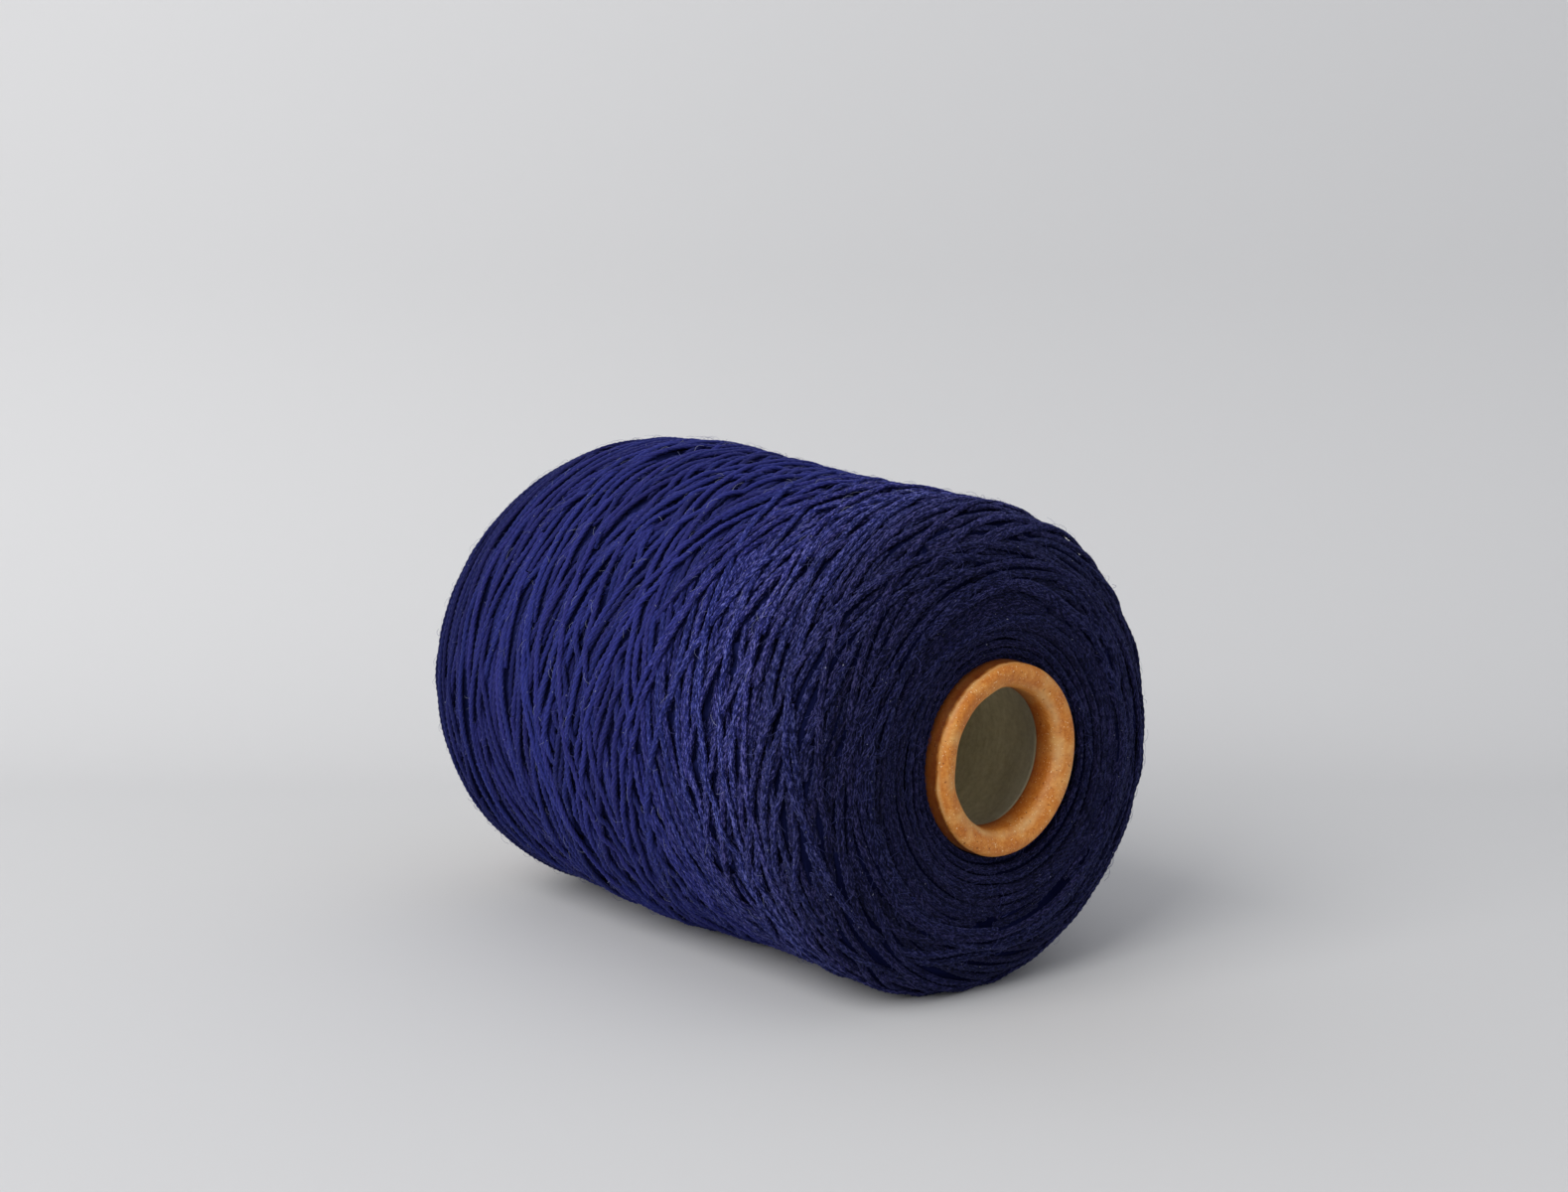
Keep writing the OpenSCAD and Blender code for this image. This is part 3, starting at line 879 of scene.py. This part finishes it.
strand_tree = plied_strand_tree()
navy_yarn = yarn_material()
for number, (kind, chunk) in enumerate(pieces, 1):
    ends = np.cumsum([len(line["middle"]) for line in chunk])
    firsts = np.arange(ends[-1] - 1)
    firsts = firsts[~np.isin(firsts + 1, ends)]
    joined = {name: np.concatenate([line[name] for line in chunk]) for name in chunk[0]}
    piece = new_object(f"yarn_{kind}_{number}", joined["middle"], [],
                       np.stack([firsts, firsts + 1], axis=1))
    for name, values in joined.items():
        store(piece.data, name, values, "FLOAT_VECTOR" if values.ndim == 2 else "FLOAT")
    grown(piece, strand_tree, plies=plies, strand_radius=strand_r, valley=ply_valley,
          flatness=strand_flat, material=navy_yarn)
    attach(piece, "root")
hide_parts("nose_end_turns", "base_end_turns")
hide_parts("lower_course", "upper_course")


# ---------------------------------------------------------------------------------------------
# Fuzz
# Loose ends of fibre that have worked out of the strands. Each one arches low over the surface,
# roughly along the strand that it grows from, and none grows close to the floor.
# ---------------------------------------------------------------------------------------------
fuzz_count = 6500
fuzz_length = (1.3 * mm, 3.4 * mm)
# As shares of a hair's own length
fuzz_thickness = 0.011
fuzz_straying = 0.6
root_height = 0.6 * mm
rooted_above = -0.5 * mm


def fuzz_tree():
    """Geometry nodes that put one arched hair on each point, turned and sized by its attributes."""
    tree, given = new_tree("fuzz", ("Thickness", "Float"), ("Seed", "Int"), ("Material", "Material"))
    arch = add(tree, "GeometryNodeCurveQuadraticBezier",
               {"Resolution": 3, "Start": (0, 0, 0), "Middle": (0.45, 0.12, 0.5), "End": (1, -0.1, 0.16)})
    ring = add(tree, "GeometryNodeCurvePrimitiveCircle", {"Resolution": 3, "Radius": given["Thickness"]})
    hair = add(tree, "GeometryNodeCurveToMesh",
               {"Curve": arch.outputs[0], "Profile Curve": ring.outputs["Curve"], "Fill Caps": True})
    upright = add(tree, "FunctionNodeAlignRotationToVector",
                  {"Vector": kept(tree, "outward", "FLOAT_VECTOR")}, axis="Z")
    turned_to = add(tree, "FunctionNodeAlignRotationToVector",
                    {"Rotation": upright.outputs[0], "Vector": kept(tree, "aim", "FLOAT_VECTOR")},
                    axis="X", pivot_axis="Z")
    lift = add(tree, "FunctionNodeRandomValue", {2: 0.15, 3: 1.1, "Seed": given["Seed"]},
               data_type="FLOAT").outputs[1]
    shape = add(tree, "ShaderNodeCombineXYZ", {"X": 1.0, "Y": 1.0, "Z": lift}).outputs[0]
    placed = add(tree, "GeometryNodeInstanceOnPoints",
                 {"Points": given["Geometry"], "Instance": hair.outputs[0],
                  "Rotation": turned_to.outputs[0], "Scale": times(tree, shape, kept(tree, "size"))})
    whole = add(tree, "GeometryNodeRealizeInstances", {"Geometry": placed.outputs[0]})
    dressed = add(tree, "GeometryNodeSetMaterial",
                  {"Geometry": whole.outputs[0], "Material": given["Material"]})
    add(tree, "NodeGroupOutput", {0: dressed.outputs[0]})
    return tree


def fuzz_material():
    """Hairs of the same wool, painted paler than the strand, as thin hairs look in the light, and darker
    where the strand below has painted shade.
    """
    made, tree, shader = new_material("yarn_fuzz", {"Roughness": 0.7, "Specular IOR Level": 0.3})
    paleness = carried(tree, "paleness")
    colour = ramp(tree, paleness, [(0.0, (0.030, 0.034, 0.15)), (0.8, (0.08, 0.09, 0.27)),
                                   (1.0, (0.30, 0.32, 0.44))])
    tree.links.new(colour, shader.inputs["Base Color"])
    return made


everywhere = {name: np.concatenate([line[name] for _, line in lines])
              for name in ("middle", "outward", "rise", "shade")}
forwards = np.roll(everywhere["middle"], -1, axis=0) - everywhere["middle"]
clear_of_floor = everywhere["middle"][:, 2] > 2 * fuzz_length[1]
on_top = np.flatnonzero((everywhere["rise"] > rooted_above) & clear_of_floor)
roots = draw.choice(on_top, fuzz_count, replace=False)
aim = forwards[roots] / np.linalg.norm(forwards[roots], axis=1)[:, None]
aim = aim * draw.choice([-1, 1], (fuzz_count, 1)) + draw.normal(0, fuzz_straying, (fuzz_count, 3))
rooted = everywhere["middle"][roots] + root_height * everywhere["outward"][roots]
fuzz = new_object("yarn_fuzz", rooted, [])
store(fuzz.data, "outward", everywhere["outward"][roots], "FLOAT_VECTOR")
store(fuzz.data, "aim", aim, "FLOAT_VECTOR")
store(fuzz.data, "size", draw.uniform(*fuzz_length, fuzz_count))
# Each hair takes the painted shade of the strand it grows from
store(fuzz.data, "paleness", draw.uniform(0, 1, fuzz_count) * everywhere["shade"][roots])
grown(fuzz, fuzz_tree(), thickness=fuzz_thickness, seed=seed, material=fuzz_material())
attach(fuzz, "root")


# ---------------------------------------------------------------------------------------------
# Floor, lamps and camera
# A pale sweep that the cone lies on and that rises behind it. A large soft lamp stands above and
# behind the camera at its left, and weaker light comes from all round.
# ---------------------------------------------------------------------------------------------
camera_heading = math.radians(50.82)
camera_dip = math.radians(4.64)
right = Vector((math.cos(camera_heading), math.sin(camera_heading), 0))
forward = Vector((-math.sin(camera_heading) * math.cos(camera_dip),
                  math.cos(camera_heading) * math.cos(camera_dip), -math.sin(camera_dip)))
up = right.cross(forward)
yarn_middle = Vector(laid_down(np.array([[0, 0, middle_u]]))[0])

sweep_front = 1.6
sweep_half_width = 2.2
sweep_height = 1.6
bend_start = 0.16
bend_r = 0.20
sweep_grey = (0.65, 0.65, 0.655, 1)


def sweep_material():
    """Matt pale grey, like painted board."""
    made, _, _ = new_material("pale_sweep", {"Roughness": 1.0, "Specular IOR Level": 0.0,
                                             "Base Color": sweep_grey})
    return made


def build_sweep():
    """A floor that turns up into a backdrop behind the cone, in one curve."""
    back = Vector((forward.x, forward.y, 0)).normalized()
    bend = [(bend_start + bend_r * math.sin(a), bend_r - bend_r * math.cos(a))
            for a in np.linspace(0, math.pi / 2, 24)]
    profile = [(-sweep_front, 0)] + bend + [(bend_start + bend_r, sweep_height)]
    points, faces = [], []
    for out, z in profile:
        for side in (-sweep_half_width, sweep_half_width):
            points.append(tuple(back * out + right * side + Vector((0, 0, z))))
    for i in range(len(profile) - 1):
        faces.append((2 * i, 2 * i + 1, 2 * i + 3, 2 * i + 2))
    sweep = new_object("pale_sweep", points, faces)
    sweep.data.shade_smooth()
    sweep.data.materials.append(sweep_material())


build_sweep()

window_size = 1.1
window_power = 20.0
window_colour = (1.0, 0.99, 0.97)
window_left, window_behind, window_above = 0.85, 1.0, 0.9
room_colour = (0.93, 0.95, 1.0, 1)
room_strength = 0.55


def lamp(name, place, target, size, power, colour):
    """A square soft lamp that faces its target."""
    light = bpy.data.lights.new(name, "AREA")
    light.shape = "SQUARE"
    light.size = size
    light.energy = power
    light.color = colour
    made = bpy.data.objects.new(name, light)
    made.location = place
    made.rotation_euler = (Vector(target) - Vector(place)).to_track_quat("-Z", "Y").to_euler()
    bpy.context.scene.collection.objects.link(made)


window_place = (yarn_middle - right * window_left - forward * window_behind
                + Vector((0, 0, window_above)))
lamp("window", window_place, yarn_middle, window_size, window_power, window_colour)

world = bpy.data.worlds.new("studio")
world.use_nodes = True
bpy.context.scene.world = world
room_light = world.node_tree.nodes["Background"]
room_light.inputs["Color"].default_value = room_colour
room_light.inputs["Strength"].default_value = room_strength

camera_data = bpy.data.cameras.new("camera")
camera_data.sensor_width = 36
camera_data.lens = 37.47
camera_data.clip_start = 0.01
camera = bpy.data.objects.new("camera", camera_data)
axes = Matrix((right, up, -forward)).transposed().to_4x4()
camera_right, camera_above, camera_distance = 0.00233, 0.02404, 0.3925
place = yarn_middle + right * camera_right + up * camera_above - forward * camera_distance
camera.matrix_world = Matrix.Translation(place) @ axes
bpy.context.scene.collection.objects.link(camera)
bpy.context.scene.camera = camera
bpy.context.scene.view_settings.view_transform = "Standard"
